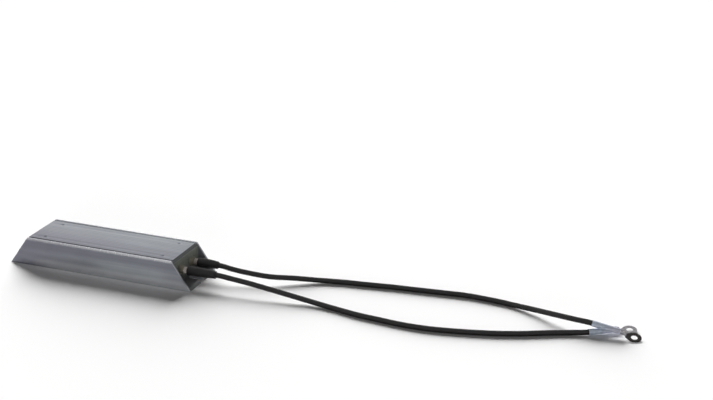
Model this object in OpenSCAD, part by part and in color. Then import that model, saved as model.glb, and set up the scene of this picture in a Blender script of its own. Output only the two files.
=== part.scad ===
// Aluminium housed power resistor with two flexible leads.
// X runs along the housing towards the leads, Y from front to back, Z up.
// The origin is the centre of the base face. All sizes are in millimetres.

/* [Housing] */
// Length of the base, over the tips of both feet
body_l = 140; // [130:1:170]
// Width of the extrusion
body_w = 40; // [38:1:50]
// Height of the extrusion
body_h = 20; // [19:0.5:26]
// How much shorter the top is than the base, at each end
end_inset = 14; // [12:0.5:18]
// Thickness of the side walls and the top wall
wall = 2; // [1.6:0.1:2.4]
// Thickness of the base plate
base_t = 2.5; // [2:0.1:3.5]

/* [Mounting slots] */
// Distance between the round ends of the two slots, centre to centre
slot_pitch = 125; // [120:1:128]
// Width of each slot
slot_w = 6; // [4.5:0.1:7]

/* [Top face] */
// Width of the raised rib along each long edge
rib_w = 1.8; // [1.4:0.1:2.4]
// Width of the groove beside each rib
groove_w = 1.6; // [1:0.1:2]
// Depth of the groove beside each rib
groove_depth = 0.7; // [0.3:0.1:0.9]
// Number of shallow flutes between the two grooves
flutes = 14; // [8:1:18]
// Distance of the stake marks from the middle, along the housing
stake_x = 46; // [40:1:48]
// Distance of the stake marks from the middle, across the housing
stake_y = 12; // [10:0.5:14]

/* [Resistance elements] */
// Length of each ceramic core
core_l = 84; // [70:1:86]
// Outer diameter of each ceramic core
core_d = 7; // [6:0.1:7.4]
// Diameter of the resistance wire
wire_d = 0.9; // [0.5:0.1:1]
// Number of turns on each core
turns = 28; // [20:1:30]

/* [Leads] */
// Distance of each lead from the middle of the housing
lead_y = 8; // [7.5:0.1:8.5]
// Outer diameter of a lead's insulation
lead_d = 3.6; // [3.2:0.1:3.8]
// Outer diameter of the black sleeve where a lead leaves the housing
exit_sleeve_d = 6.5; // [5.4:0.1:6.8]

/* [Ring terminals] */
// Outer diameter of the ring
ring_d = 9.5; // [9:0.1:11]
// Diameter of the stud hole in the ring
stud_hole_d = 4.3; // [4:0.1:5.5]
// Distance from the start of the terminal's sleeve to the centre of the ring
terminal_l = 28; // [26:0.5:32]

/* [Hidden] */

$fn = 64;
eps = 0.01;
front = -1;
back = 1;
left = -1;
right = 1;

// Section of the extrusion
edge_r = 0.8;
foot_r = 0.4;
cavity_w = body_w - 2 * wall;
cavity_h = body_h - wall - base_t;
cavity_mid = base_t + cavity_h / 2;
cavity_r = 1;
field_w = body_w - 2 * rib_w - 2 * groove_w;
flute_pitch = field_w / flutes;
flute_depth = 0.1;
flute_r = (pow(0.38 * flute_pitch, 2) + pow(flute_depth, 2)) / (2 * flute_depth);

// Stake marks are the dents of a round punch
stake_r = 1.6;
stake_depth = 0.7;

// End plates stand just inside the lip of the top wall
plate_t = 2.5;
plate_x = body_l / 2 - end_inset + 1;
inner_x = plate_x - plate_t;

// Mica sheets line the cavity, and the filling takes up the rest
mica_t = 0.5;
mica_gap = 1.2;
fill_w = cavity_w - 2 * mica_t;
fill_h = cavity_h - 2 * mica_t;

// Elements: core, winding, end caps
core_bore_d = 3;
wire_r = wire_d / 2;
turn_steps = 12;
turn_r = (core_d / 2 + wire_r) / cos(180 / turn_steps) + eps;
pocket_r = turn_r + wire_r + 0.05;
cap_grip = 4;
cap_end_t = 1;
cap_x = core_l / 2 - cap_grip;
cap_end_x = core_l / 2 + cap_end_t;
pin_r = 0.9;
pin_l = 3;
bridge_t = 1;
bridge_w = 6;
crimp_r = 1.6;
crimp_x = cap_end_x + 1;
lead_start_x = inner_x - 2;

// Lead, and what it passes through at the housing
lead_r = lead_d / 2;
lead_z = cavity_mid;
inner_sleeve_r = lead_r + 0.4;
exit_sleeve_r = exit_sleeve_d / 2;
bushing_r = 3;
bushing_flange_r = 3.5;
bushing_tip_r = 2.9;
bushing_l = 3.5;
exit_sleeve_x = plate_x + 6;
exit_sleeve_taper_x = plate_x + 13;
exit_sleeve_end = [84, 78];
exit_sleeve_tip_r = inner_sleeve_r + 0.4;
inner_sleeve_setback = 1;

// Ring terminal: crimp barrel, flat tongue and ring, under a plastic sleeve
barrel_r = lead_r;
barrel_bore_r = 1;
barrel_l = 7;
barrel_x = 13;
tongue_t = 0.8;
tongue_x = barrel_x + barrel_l;
tongue_ramp = 3;
trough_l = 1.8;
strand_reach = 1;
terminal_sleeve_l = tongue_x - 1;
terminal_sleeve_r = lead_r + 0.25;

// Where each terminal's sleeve starts, and the way it lies.
// The front one is on the ground. The back one lies across it, with the edge of its ring on the ground.
terminal_place = [[337, 17, 2.1], [338.5, 20.5, 7.1]];
terminal_yaw = [34, 0.5];
terminal_pitch = [-0.8, 8.4];
terminal_roll = [8, 12];

// The free part of each lead, from the end of its black sleeve to the start of its terminal's sleeve:
// it leaves level, comes down under its own weight, and lies on the ground from then on.
ground = lead_r;
route_front = [
    [exit_sleeve_end[0], -lead_y, lead_z],
    [97, -8, 9.3], [110, -8, 8.1], [124, -8, 6.4], [138, -8, 4.6], [152, -8, 2.8],
    [168, -10, ground], [187, -14, ground], [205, -16, ground], [222, -17.5, ground],
    [239, -17, ground], [254, -14.5, ground], [269, -11, ground], [284, -6.5, ground],
    [298, -1, ground], [312, 6, ground], [325, 12, ground],
    terminal_place[0]
];
route_back = [
    [exit_sleeve_end[1], lead_y, lead_z],
    [89, 8.5, 8.8], [98, 10, 7.4], [114, 14, 5.3], [129, 21.5, 3.7], [144, 28, 2.1],
    [160, 32, ground], [177, 34.5, ground], [193, 37, ground], [210, 39, ground],
    [227, 41, ground], [244, 43, ground], [260, 42.5, ground], [277, 40.5, ground],
    [295, 34.5, 3.5], [310, 27, 6], [325.5, 21.5, 7.5],
    terminal_place[1]
];
lead_sides = 8;
rings_per_span = 2;

// ---------------------------------------------------------------- functions

function unit(v) = v / norm(v);

// The way a terminal points, as a unit vector
function heading(yaw, pitch) = [cos(pitch) * cos(yaw), cos(pitch) * sin(yaw), -sin(pitch)];

// A point between a and b on a smooth curve with the tangents ta and tb
function hermite(a, b, ta, tb, u) =
    (2 * pow(u, 3) - 3 * pow(u, 2) + 1) * a + (pow(u, 3) - 2 * pow(u, 2) + u) * ta
    + (3 * pow(u, 2) - 2 * pow(u, 3)) * b + (pow(u, 3) - pow(u, 2)) * tb;

// The tangent at point i of a route, which starts and ends along the given directions
function tangent(route, i, first, last) =
    i == 0 ? first * norm(route[1] - route[0])
    : i == len(route) - 1 ? last * norm(route[i] - route[i - 1])
    : (route[i + 1] - route[i - 1]) / 2;

// A point no lower than where a lead rests on the ground
function rested(p) = [p[0], p[1], max(p[2], ground)];

// The route's points with more between them, all on one smooth curve
function smooth(route, first, last, steps) = [
    for (i = [0 : len(route) - 2], k = [0 : steps - 1])
        rested(hermite(route[i], route[i + 1], tangent(route, i, first, last),
                       tangent(route, i + 1, first, last), k / steps)),
    route[len(route) - 1]
];

// The direction of a path at point i
function along(path, i) =
    unit(path[min(i + 1, len(path) - 1)] - path[max(i - 1, 0)]);

// A ring of points square to the path at point i, which stays upright in the frame given by up
function ring(path, i, r, sides, up) =
    let (t = along(path, i), side = unit(cross(t, up)), top = cross(side, t))
    [for (k = [0 : sides - 1]) path[i] + r * (cos(360 * k / sides) * side + sin(360 * k / sides) * top)];

// ------------------------------------------------------------ shared shapes

// A round bar swept along the points of a path
module sweep(path, r, sides, up = [0, 0, 1]) {
    points = [for (i = [0 : len(path) - 1]) each ring(path, i, r, sides, up)];
    last = (len(path) - 1) * sides;
    polyhedron(points, concat(
        [[for (k = [0 : sides - 1]) sides - 1 - k]],
        [[for (k = [0 : sides - 1]) last + k]],
        [for (i = [0 : len(path) - 2], k = [0 : sides - 1])
            let (a = i * sides + k, b = i * sides + (k + 1) % sides)
            each [[a, b, b + sides], [a, b + sides, a + sides]]]
    ));
}

// A rectangle with rounded corners, centred across and standing on y = 0
module rounded_rect(w, h, r_low, r_high) {
    difference() {
        translate([-w / 2, 0]) square([w, h]);
        for (s = [-1, 1]) {
            translate([s * w / 2, 0]) corner_waste(r_low, s, -1);
            translate([s * w / 2, h]) corner_waste(r_high, s, 1);
        }
    }
}

// What a rounded corner takes off a square one; the corner points to side sx, sy
module corner_waste(r, sx, sy) {
    difference() {
        translate([sx > 0 ? -r : -eps, sy > 0 ? -r : -eps]) square(r + eps);
        translate([-sx * r, -sy * r]) circle(r);
    }
}

// Turns a flat section into a bar along X, from x0 to x1
module bar_x(x0, x1) {
    translate([x0, 0, 0]) rotate([90, 0, 90]) linear_extrude(x1 - x0) children();
}

// A rod along X
module rod_x(r, x0, x1) {
    translate([x0, 0, 0]) rotate([0, 90, 0]) cylinder(r = r, h = x1 - x0);
}

// A tube along X
module tube_x(r_out, r_in, x0, x1) {
    difference() {
        rod_x(r_out, x0, x1);
        rod_x(r_in, x0 - 1, x1 + 1);
    }
}

// Moves what is built round the X axis to the line of one lead
module on_lead_line(side) {
    translate([0, side * lead_y, lead_z]) children();
}

// Moves what is built along X from its own origin to the place of one terminal
module on_terminal(side) {
    i = side == front ? 0 : 1;
    translate(terminal_place[i])
        rotate([terminal_roll[i], terminal_pitch[i], terminal_yaw[i]]) children();
}

// -------------------------------------------------------------- the housing

// The section of the extrusion: edge ribs, grooves and flutes on top, a hollow inside
module housing_section() {
    difference() {
        rounded_rect(body_w, body_h, foot_r, edge_r);
        for (s = [-1, 1]) {
            translate([s * (body_w / 2 - rib_w - groove_w / 2) - groove_w / 2, body_h - groove_depth])
                square([groove_w, groove_depth + 1]);
        }
        for (i = [0 : flutes - 1]) {
            translate([-field_w / 2 + (i + 0.5) * flute_pitch, body_h - flute_depth + flute_r])
                circle(flute_r);
        }
        translate([0, base_t]) rounded_rect(cavity_w, cavity_h, cavity_r, cavity_r);
    }
}

// What the slanted saw cut takes off one end
module end_cut(side) {
    mirror([side < 0 ? 1 : 0, 0, 0])
        translate([0, body_w, 0]) rotate([90, 0, 0]) linear_extrude(2 * body_w)
            polygon([
                [body_l / 2, 0], [body_l / 2 - end_inset, body_h],
                [body_l / 2 - end_inset * 1.5, body_h * 1.5], [body_l, body_h * 1.5],
                [body_l, -body_h / 2], [body_l / 2 + end_inset / 2, -body_h / 2]
            ]);
}

// A slot for a mounting screw, open at the end of the foot
module mounting_slot(side) {
    translate([side * slot_pitch / 2, 0, -1]) {
        cylinder(d = slot_w, h = base_t + 2);
        translate([side > 0 ? 0 : -body_l / 4, -slot_w / 2, 0]) cube([body_l / 4, slot_w, base_t + 2]);
    }
}

module housing() {
    color([0.66, 0.67, 0.69])
    difference() {
        bar_x(-body_l / 2, body_l / 2) housing_section();
        for (side = [left, right]) {
            end_cut(side);
            mounting_slot(side);
            for (s = [front, back])
                translate([side * stake_x, s * stake_y, body_h - stake_depth + stake_r]) sphere(stake_r);
        }
    }
}

// A plate that closes one end of the cavity
module end_plate(side, holes) {
    x0 = side > 0 ? inner_x : -plate_x;
    color([0.36, 0.38, 0.34])
    difference() {
        bar_x(x0, x0 + plate_t)
            translate([0, base_t]) rounded_rect(cavity_w, cavity_h, cavity_r, cavity_r);
        if (holes) {
            for (s = [front, back])
                on_lead_line(s) rod_x(bushing_r, x0 - 1, x0 + plate_t + 1);
        }
    }
}

module end_plate_left() end_plate(left, false);
module end_plate_right() end_plate(right, true);

// ------------------------------------------------- insulation in the cavity

// A flat mica sheet against the base plate or the top wall
module mica_flat(z0) {
    w = cavity_w - 2 * mica_gap;
    color([0.74, 0.70, 0.60])
    translate([-inner_x, -w / 2, z0]) cube([2 * inner_x, w, mica_t]);
}

// A flat mica sheet against one side wall
module mica_upright(side) {
    h = cavity_h - 2 * mica_gap;
    color([0.74, 0.70, 0.60])
    translate([-inner_x, side * (cavity_w - mica_t) / 2 - mica_t / 2, base_t + mica_gap])
        cube([2 * inner_x, mica_t, h]);
}

module mica_sheet_top() mica_flat(body_h - wall - mica_t);
module mica_sheet_bottom() mica_flat(base_t);
module mica_sheet_front() mica_upright(front);
module mica_sheet_back() mica_upright(back);

// Cement round both elements, with a pocket for each piece in it
module filling() {
    color([0.80, 0.78, 0.72])
    difference() {
        translate([-inner_x, -fill_w / 2, base_t + mica_t]) cube([2 * inner_x, fill_w, fill_h]);
        for (s = [front, back])
            on_lead_line(s) {
                rod_x(pocket_r, -cap_end_x, cap_end_x);
                rod_x(pin_r, -cap_end_x - pin_l, cap_end_x + pin_l);
                rod_x(crimp_r, crimp_x, lead_start_x);
                rod_x(inner_sleeve_r, lead_start_x, inner_x + 1);
            }
        bridge_blank();
    }
}

// ------------------------------------------------------ resistance elements

module core(side) {
    color([0.90, 0.88, 0.82])
    on_lead_line(side) tube_x(core_d / 2, core_bore_d / 2, -core_l / 2, core_l / 2);
}

// Resistance wire in one layer round a core, between its two caps
module winding(side) {
    half = cap_x - wire_r;
    steps = turns * turn_steps;
    path = [for (i = [0 : steps])
        [-half + 2 * half * i / steps, turn_r * cos(360 * i / turn_steps), turn_r * sin(360 * i / turn_steps)]];
    color([0.55, 0.50, 0.45])
    on_lead_line(side) sweep(path, wire_r, 4, [1, 0, 0]);
}

// A steel cap pressed over one end of a core, with a pin for the connection
module cap(side, end) {
    color([0.62, 0.62, 0.60])
    on_lead_line(side) mirror([end < 0 ? 1 : 0, 0, 0]) {
        difference() {
            rod_x(pocket_r, cap_x, cap_end_x);
            rod_x(core_d / 2, cap_x - 1, core_l / 2);
        }
        rod_x(pin_r, cap_end_x - eps, cap_end_x + pin_l);
    }
}

module core_front() core(front);
module core_back() core(back);
module winding_front() winding(front);
module winding_back() winding(back);
module cap_front_left() cap(front, left);
module cap_front_right() cap(front, right);
module cap_back_left() cap(back, left);
module cap_back_right() cap(back, right);

// The outline of the strip that joins both elements at the end away from the leads
module bridge_blank() {
    translate([-cap_end_x - pin_l, -lead_y - bridge_w / 2, lead_z - bridge_w / 2])
        cube([bridge_t, 2 * lead_y + bridge_w, bridge_w]);
}

module bridge_strip() {
    color([0.62, 0.62, 0.60])
    difference() {
        bridge_blank();
        for (s = [front, back])
            on_lead_line(s) rod_x(pin_r, -cap_end_x - pin_l - 1, -cap_end_x);
    }
}

// A crimped tube that joins a cap's pin to a lead's conductor
module crimp(side) {
    color([0.72, 0.66, 0.50])
    on_lead_line(side) tube_x(crimp_r, pin_r, crimp_x, lead_start_x - 0.5);
}

// The bared inner end of a lead's conductor
module conductor(side) {
    color([0.72, 0.45, 0.30])
    on_lead_line(side) rod_x(pin_r, cap_end_x + pin_l + 1, lead_start_x);
}

module crimp_front() crimp(front);
module crimp_back() crimp(back);
module conductor_front() conductor(front);
module conductor_back() conductor(back);

// ------------------------------------------------ where the leads come out

// A ceramic bushing through the end plate, with a tapered nose outside
module bushing(side) {
    color([0.55, 0.53, 0.48])
    on_lead_line(side)
    difference() {
        union() {
            rod_x(bushing_r, inner_x, plate_x + eps);
            translate([plate_x, 0, 0]) rotate([0, 90, 0])
                cylinder(r1 = bushing_flange_r, r2 = bushing_tip_r, h = bushing_l);
        }
        rod_x(inner_sleeve_r, inner_x - 1, plate_x + bushing_l + 1);
    }
}

// The pale glass-fibre sleeve on a lead, from inside the housing to inside the black sleeve
module inner_sleeve(side) {
    i = side == front ? 0 : 1;
    color([0.80, 0.74, 0.72])
    on_lead_line(side)
        tube_x(inner_sleeve_r, lead_r, lead_start_x, exit_sleeve_end[i] - inner_sleeve_setback);
}

// The thick black sleeve over it, tapered to its free end
module exit_sleeve(side) {
    i = side == front ? 0 : 1;
    color([0.10, 0.10, 0.11])
    on_lead_line(side)
    difference() {
        union() {
            rod_x(exit_sleeve_r, exit_sleeve_x, exit_sleeve_taper_x);
            translate([exit_sleeve_taper_x, 0, 0]) rotate([0, 90, 0])
                cylinder(
                    r1 = exit_sleeve_r, r2 = exit_sleeve_tip_r,
                    h = exit_sleeve_end[i] - exit_sleeve_taper_x
                );
        }
        rod_x(inner_sleeve_r, exit_sleeve_x - 1, exit_sleeve_end[i] + 1);
    }
}

module bushing_front() bushing(front);
module bushing_back() bushing(back);
module inner_sleeve_front() inner_sleeve(front);
module inner_sleeve_back() inner_sleeve(back);
module exit_sleeve_front() exit_sleeve(front);
module exit_sleeve_back() exit_sleeve(back);

// A whole lead: straight inside the sleeves, free along its route, straight inside the terminal
module lead(side) {
    i = side == front ? 0 : 1;
    route = i == 0 ? route_front : route_back;
    way = heading(terminal_yaw[i], terminal_pitch[i]);
    path = concat(
        [[lead_start_x, side * lead_y, lead_z]],
        smooth(route, [1, 0, 0], way, rings_per_span),
        [terminal_place[i] + barrel_x * way]
    );
    color([0.12, 0.12, 0.13]) sweep(path, lead_r, lead_sides);
}

module lead_front() lead(front);
module lead_back() lead(back);

// --------------------------------------------------------- ring terminals

// The outline of the tongue and ring, seen from above
module tongue_outline() {
    difference() {
        union() {
            translate([terminal_l, 0]) circle(d = ring_d);
            polygon([
                [tongue_x - 1, -barrel_r], [tongue_x + tongue_ramp, -barrel_r - 0.4],
                [terminal_l - 2, -ring_d / 2 + 0.7], [terminal_l - 2, ring_d / 2 - 0.7],
                [tongue_x + tongue_ramp, barrel_r + 0.4], [tongue_x - 1, barrel_r]
            ]);
        }
        translate([terminal_l, 0]) circle(d = stud_hole_d);
    }
}

// The barrel flattened into the tongue, seen from the side
module tongue_profile() {
    polygon([
        [tongue_x - 1, -barrel_r], [terminal_l + ring_d, -barrel_r],
        [terminal_l + ring_d, tongue_t - barrel_r], [tongue_x + tongue_ramp, tongue_t - barrel_r],
        [tongue_x, barrel_r * 0.55], [tongue_x - 1, barrel_r * 0.55]
    ]);
}

// The bore of the barrel runs on as a trough in the ramp to the tongue
module terminal(side) {
    color([0.66, 0.66, 0.66])
    on_terminal(side)
    difference() {
        union() {
            rod_x(barrel_r, barrel_x, tongue_x);
            intersection() {
                translate([0, 0, -barrel_r]) linear_extrude(2 * barrel_r) tongue_outline();
                translate([0, ring_d, 0]) rotate([90, 0, 0]) linear_extrude(2 * ring_d) tongue_profile();
            }
        }
        rod_x(barrel_bore_r, barrel_x - 1, tongue_x + trough_l);
    }
}

// The plastic sleeve over a terminal's barrel and the end of the lead
module terminal_sleeve(side) {
    color([0.52, 0.56, 0.63])
    on_terminal(side) tube_x(terminal_sleeve_r, lead_r, 0, terminal_sleeve_l);
}

// The bared outer end of a lead's conductor, crimped in the barrel, with its tip in the trough
module strand_end(side) {
    color([0.72, 0.45, 0.30])
    on_terminal(side) rod_x(barrel_bore_r, barrel_x, tongue_x + strand_reach);
}

module terminal_sleeve_front() terminal_sleeve(front);
module terminal_sleeve_back() terminal_sleeve(back);
module terminal_front() terminal(front);
module terminal_back() terminal(back);
module strand_end_front() strand_end(front);
module strand_end_back() strand_end(back);

// ------------------------------------------------------------------- output

housing();
end_plate_left();
end_plate_right();
mica_sheet_top();
mica_sheet_bottom();
mica_sheet_front();
mica_sheet_back();
filling();
core_front();
core_back();
winding_front();
winding_back();
cap_front_left();
cap_front_right();
cap_back_left();
cap_back_right();
bridge_strip();
crimp_front();
crimp_back();
conductor_front();
conductor_back();
bushing_front();
bushing_back();
inner_sleeve_front();
inner_sleeve_back();
exit_sleeve_front();
exit_sleeve_back();
lead_front();
lead_back();
terminal_sleeve_front();
terminal_sleeve_back();
terminal_front();
terminal_back();
strand_end_front();
strand_end_back();
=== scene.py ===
"""Looks, stage and camera of an aluminium housed power resistor with two flexible leads.

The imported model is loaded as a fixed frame, in metres. X runs along the housing towards the
leads, Y from front to back and Z up, and the origin is the centre of the base face. Each
sub-assembly is a class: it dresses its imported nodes, and it models the pieces whose real form
is softer or finer than the solid that stands for them.
"""

import logging
import math
from dataclasses import dataclass, replace
from enum import Enum
from typing import Any, Callable, Dict, List, Optional, Sequence, Tuple, Union

import bmesh
import bpy
from mathutils import Euler, Matrix, Vector


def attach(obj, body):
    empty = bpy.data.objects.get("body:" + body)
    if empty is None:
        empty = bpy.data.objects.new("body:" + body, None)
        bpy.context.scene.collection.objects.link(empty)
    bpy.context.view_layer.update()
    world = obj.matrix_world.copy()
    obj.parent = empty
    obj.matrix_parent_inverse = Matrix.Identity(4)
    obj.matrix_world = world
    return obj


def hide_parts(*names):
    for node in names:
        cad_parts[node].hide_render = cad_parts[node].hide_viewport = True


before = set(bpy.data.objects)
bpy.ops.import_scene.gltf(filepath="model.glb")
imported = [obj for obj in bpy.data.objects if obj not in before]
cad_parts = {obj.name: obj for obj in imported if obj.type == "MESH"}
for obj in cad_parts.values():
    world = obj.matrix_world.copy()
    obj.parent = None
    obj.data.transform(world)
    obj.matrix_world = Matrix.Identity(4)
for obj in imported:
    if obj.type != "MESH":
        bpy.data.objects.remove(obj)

log = logging.getLogger("housed_resistor")

Pair = Tuple[float, float]
Triple = Tuple[float, float, float]
Number = Union["Signal", float]
Key = Union[str, int]
Values = Optional[Dict[Key, Any]]
Material = bpy.types.Material
Object = bpy.types.Object

MM = 0.001
LEAD_ACROSS = 8.0 * MM
LEAD_HEIGHT = 10.25 * MM
WELD = 0.002 * MM
ZERO: Triple = (0.0, 0.0, 0.0)


class Side(Enum):
    """Which of the two leads, elements or terminals a piece belongs to."""

    FRONT = -1
    BACK = 1

    @property
    def word(self) -> str:
        """The side's name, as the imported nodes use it."""
        return self.name.lower()

    def on_axis(self, x: float = 0.0) -> Triple:
        """The point at that X on the line along which the side's lead leaves the housing."""
        return (x, self.value * LEAD_ACROSS, LEAD_HEIGHT)


class Slot(Enum):
    """Names of the record's material slots, passed along with the modelled pieces' finishes."""

    HOUSING = "housing_aluminium"
    END_PLATE = "end_plate"
    BUSHING = "bushing_ceramic"
    SHRINK = "exit_sleeve"
    JACKET = "lead_insulation"
    VINYL = "terminal_sleeve"
    TERMINAL = "terminal_metal"


# --- Shader maths ---


class Signal:
    """A number or vector that varies over a surface: one output socket, open to arithmetic."""

    def __init__(self, graph: "Graph", socket: bpy.types.NodeSocket) -> None:
        """Wraps a socket of the graph's node tree."""
        self.graph = graph
        self.socket = socket

    def __add__(self, other: Number) -> "Signal":
        """self + other"""
        return self.graph.math("ADD", self, other)

    def __sub__(self, other: Number) -> "Signal":
        """self - other"""
        return self.graph.math("SUBTRACT", self, other)

    def __rsub__(self, other: Number) -> "Signal":
        """other - self"""
        return self.graph.math("SUBTRACT", other, self)

    def __mul__(self, other: Number) -> "Signal":
        """self * other"""
        return self.graph.math("MULTIPLY", self, other)

    __radd__ = __add__
    __rmul__ = __mul__

    def __abs__(self) -> "Signal":
        """The size of self without its sign."""
        return self.graph.math("ABSOLUTE", self)

    def sine(self) -> "Signal":
        """The sine of self, taken as radians."""
        return self.graph.math("SINE", self)

    def larger(self, other: Number) -> "Signal":
        """The larger of self and other."""
        return self.graph.math("MAXIMUM", self, other)

    def rise(self, low: float, high: float) -> "Signal":
        """A smooth step that is 0 where self is low and 1 where it is high."""
        smooth = {"interpolation_type": "SMOOTHSTEP"}
        return self.graph.out("ShaderNodeMapRange", 0, smooth, {0: self, 1: low, 2: high})


class Graph:
    """The node tree of one material or of the surroundings, grown by expressions."""

    def __init__(self, owner: Union[Material, bpy.types.World]) -> None:
        """Starts with an empty tree.

        Args:
            owner: The material or the surroundings that the tree belongs to.
        """
        self.owner = owner
        owner.use_nodes = True
        self.tree = owner.node_tree
        self.tree.nodes.clear()

    @classmethod
    def named(cls, name: str) -> "Graph":
        """Starts a new material of that name."""
        return cls(bpy.data.materials.new(name))

    def add(self, kind: str, settings: Values = None, inputs: Values = None) -> bpy.types.Node:
        """Adds a node, sets it up, then gives its sockets their values or links.

        Args:
            kind: The node's type name.
            settings: Its settings, such as a Math node's operation.
            inputs: A value or a Signal for each socket, by the socket's name or number.

        Returns:
            The new node.
        """
        node = self.tree.nodes.new(kind)
        for key, value in (settings or {}).items():
            setattr(node, key, value)
        for key, value in (inputs or {}).items():
            socket = node.inputs[key]
            if isinstance(value, Signal):
                self.tree.links.new(value.socket, socket)
            elif socket.type == "RGBA" and len(value) == 3:
                socket.default_value = (*value, 1.0)
            else:
                socket.default_value = value
        return node

    def out(
        self, kind: str, output: Key = 0, settings: Values = None, inputs: Values = None
    ) -> Signal:
        """Adds a node as add does, and takes its output of that name or number."""
        return Signal(self, self.add(kind, settings, inputs).outputs[output])

    def math(self, operation: str, *values: Number) -> Signal:
        """One Math node on signals and numbers."""
        return self.out("ShaderNodeMath", 0, {"operation": operation}, dict(enumerate(values)))

    def place(self) -> Signal:
        """The point on the surface, in the object's own coordinates."""
        return self.out("ShaderNodeTexCoord", "Object")

    def local(self, origin: Triple, turn: Triple = ZERO) -> Signal:
        """The point on the surface, in a frame that has its own origin and turn."""
        sockets = {"Vector": self.place(), "Location": origin, "Rotation": turn}
        return self.out("ShaderNodeMapping", 0, {"vector_type": "TEXTURE"}, sockets)

    def stretched(self, point: Signal, scale: Triple) -> Signal:
        """The point with each coordinate multiplied."""
        return self.out("ShaderNodeMapping", inputs={"Vector": point, "Scale": scale})

    def split(self, vector: Signal) -> Tuple[Signal, ...]:
        """The three coordinates of a vector."""
        node = self.add("ShaderNodeSeparateXYZ", {}, {0: vector})
        return tuple(Signal(self, output) for output in node.outputs)

    def noise(self, point: Signal, scale: float, detail: float = 2.0, rough: float = 0.5) -> Signal:
        """Soft noise near 0.5, with its scale in features per metre."""
        sockets = {"Vector": point, "Scale": scale, "Detail": detail, "Roughness": rough}
        return self.out("ShaderNodeTexNoise", inputs=sockets)

    def streaks(self, point: Signal, scale: Triple, detail: float, rough: float = 0.6) -> Signal:
        """Soft noise with a scale of its own along each axis."""
        return self.noise(self.stretched(point, scale), 1.0, detail, rough)

    def cells(self, point: Signal, scale: float) -> Signal:
        """The distance from the nearest of many scattered points, for grains and pits."""
        return self.out("ShaderNodeTexVoronoi", "Distance", {}, {"Vector": point, "Scale": scale})

    def blend(self, factor: Number, first: Any, second: Any) -> Signal:
        """A colour between two colours."""
        return self.out("ShaderNodeMix", 2, {"data_type": "RGBA"}, {0: factor, 6: first, 7: second})

    def bump(self, height: Signal, depth: float, strength: float) -> Signal:
        """A normal from a height of 0 to 1, with the relief's depth in metres."""
        sockets = {"Height": height, "Distance": depth, "Strength": strength}
        return self.out("ShaderNodeBump", inputs=sockets)

    def surface(self, **inputs: Any) -> Material:
        """Ends the tree in a Principled shader.

        Args:
            inputs: Values or signals for the shader's sockets, with _ for each space.

        Returns:
            The finished material.
        """
        sockets = {key.replace("_", " "): value for key, value in inputs.items()}
        shader = self.out("ShaderNodeBsdfPrincipled", inputs=sockets)
        self.add("ShaderNodeOutputMaterial", {}, {"Surface": shader})
        return self.owner


# --- Finishes ---


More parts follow.
